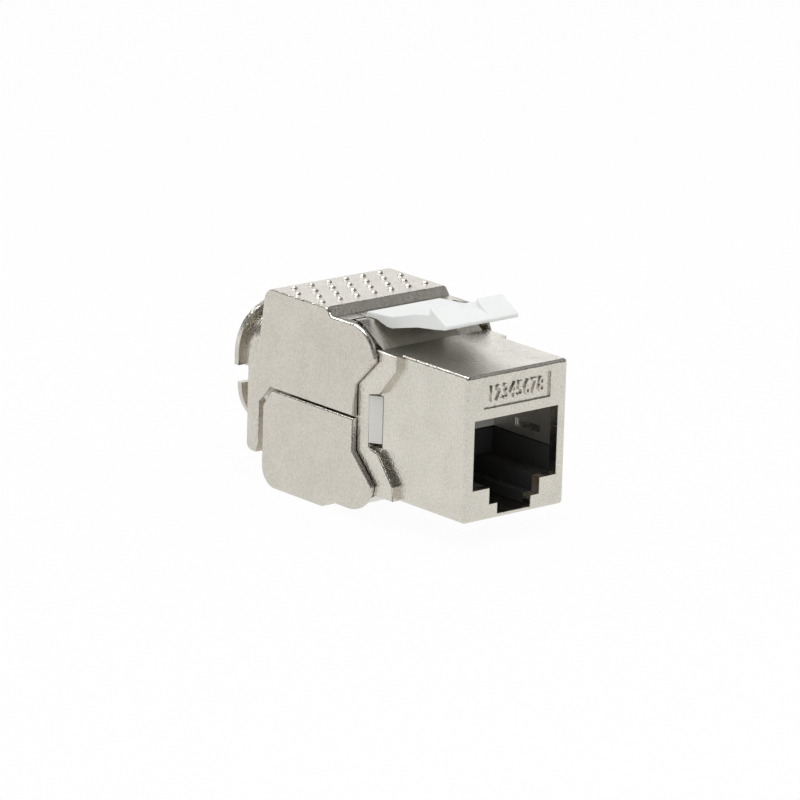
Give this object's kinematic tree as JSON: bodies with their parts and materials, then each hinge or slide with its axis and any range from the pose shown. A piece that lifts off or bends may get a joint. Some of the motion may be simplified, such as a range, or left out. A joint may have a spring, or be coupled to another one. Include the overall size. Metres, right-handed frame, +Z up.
{
  "type": "keystone jack",
  "caption": "Shielded tool-less keystone jack: cast block with a stepped plug opening, a sprung panel latch and hinged rear wings that close round the cable.",
  "frame": {"origin": "middle of the lower front edge of the front block, which sits on the lower edge of the keystone opening, flush with the panel", "axes": "+X to the right when the plug opening is faced, +Y from the front face back to the cable collar, +Z up towards the panel latch"},
  "size_m": [0.0176, 0.0421, 0.0255],
  "materials": {
    "cast_zinc": "nickel-plated zinc casting, fine satin grain",
    "plated_sheet": "nickel-plated spring sheet, satin",
    "steel": "bright ground steel",
    "white_plastic": "cool white moulded plastic, soft sheen",
    "grey_plastic": "light grey moulded plastic",
    "black_plastic": "black moulded plastic",
    "gold_contact": "gold-plated spring wire",
    "tinned_bronze": "tin-plated bronze",
    "board": "green solder mask"
  },
  "bodies": {
    "housing": {"front_housing": "cast_zinc", "port_liner": "black_plastic", "port_shield": "plated_sheet", "contact_comb": "grey_plastic", "circuit_board": "board", "idc_carrier": "white_plastic", "wire_manager": "white_plastic", "upper_pin_left": "steel", "upper_pin_right": "steel", "lower_pin_left": "steel", "lower_pin_right": "steel", "contact_1": "gold_contact", "contact_2": "gold_contact", "contact_3": "gold_contact", "contact_4": "gold_contact", "contact_5": "gold_contact", "contact_6": "gold_contact", "contact_7": "gold_contact", "contact_8": "gold_contact", "idc_blade_1": "tinned_bronze", "idc_blade_2": "tinned_bronze", "idc_blade_3": "tinned_bronze", "idc_blade_4": "tinned_bronze", "idc_blade_5": "tinned_bronze", "idc_blade_6": "tinned_bronze", "idc_blade_7": "tinned_bronze", "idc_blade_8": "tinned_bronze"},
    "upper_wing": {"upper_wing": "cast_zinc"},
    "lower_wing": {"lower_wing": "cast_zinc"},
    "latch": {"panel_latch": "white_plastic"}
  },
  "joints": [
    {"name": "upper_wing_hinge", "type": "hinge", "parent": "housing", "child": "upper_wing", "pos_m": [0, 0.0179, 0.015], "axis": [1, 0, 0], "range_deg": [0, 65]},
    {"name": "lower_wing_hinge", "type": "hinge", "parent": "housing", "child": "lower_wing", "pos_m": [0, 0.0179, 0.0016], "axis": [-1, 0, 0], "range_deg": [0, 70]},
    {"name": "latch_flex", "type": "hinge", "parent": "housing", "child": "latch", "pos_m": [0, 0.0182, 0.0176], "axis": [1, 0, 0], "range_deg": [0, 14], "stiffness_Nm_per_rad": 0.1}
  ]
}
